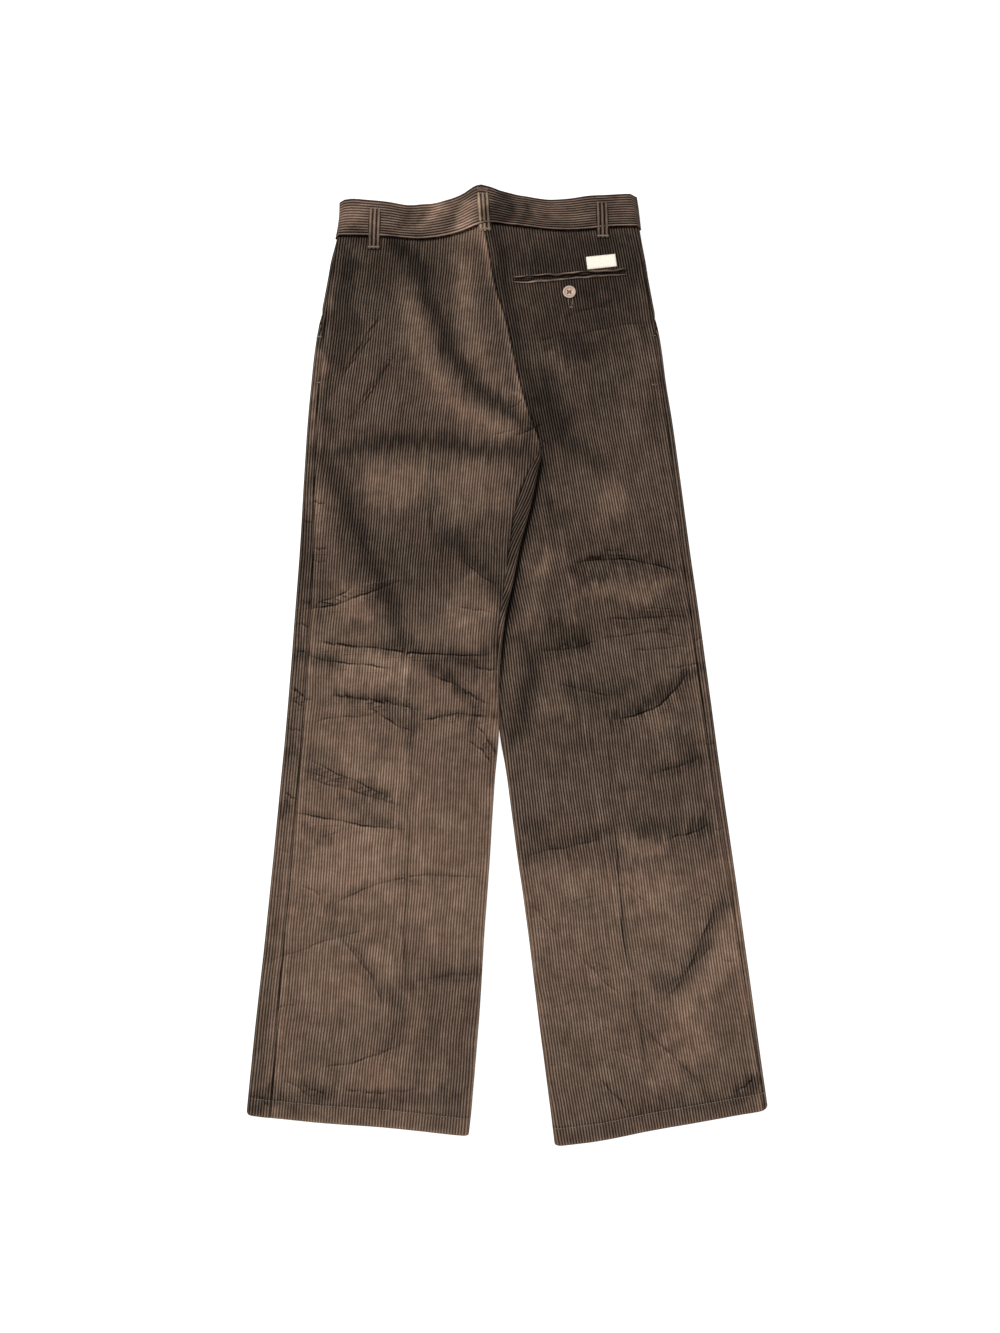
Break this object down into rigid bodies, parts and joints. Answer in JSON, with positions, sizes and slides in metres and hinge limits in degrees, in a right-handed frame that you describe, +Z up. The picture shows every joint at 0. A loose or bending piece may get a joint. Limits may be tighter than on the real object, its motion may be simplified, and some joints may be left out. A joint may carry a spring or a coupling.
{
  "type": "corduroy trousers",
  "caption": "Straight-leg corduroy trousers laid flat, back side up, with waistband, belt loops, slanted side pockets, and a welt pocket with button and label at the back.",
  "frame": {"origin": "on the surface the trousers lie on, below the middle of their outline", "axes": "+Y towards the waist, +Z up through the back side that shows, +X towards the wearer's right leg"},
  "size_m": [0.5772, 1.1258, 0.0192],
  "materials": {
    "corduroy": "cotton corduroy, taupe brown, eight raised wales to the inch, matt with a soft nap",
    "worn_corduroy": "the same corduroy worn paler on its wales",
    "label": "off-white woven tape, plain",
    "button": "resin with concentric cream and russet rings, slightly glossy"
  },
  "bodies": {
    "root": {"back_panel_left": "corduroy", "back_panel_right": "corduroy", "front_panel_left": "corduroy", "front_panel_right": "corduroy", "side_pocket_facing_left": "corduroy", "side_pocket_facing_right": "corduroy", "waistband_left": "corduroy", "waistband_right": "corduroy", "belt_loop_back_left": "corduroy", "belt_loop_back_centre": "worn_corduroy", "belt_loop_back_right": "corduroy", "belt_loop_front_left": "corduroy", "belt_loop_front_right": "corduroy", "pocket_welt_upper": "corduroy", "pocket_welt_lower": "corduroy", "label": "label", "pocket_button": "button"}
  },
  "joints": []
}
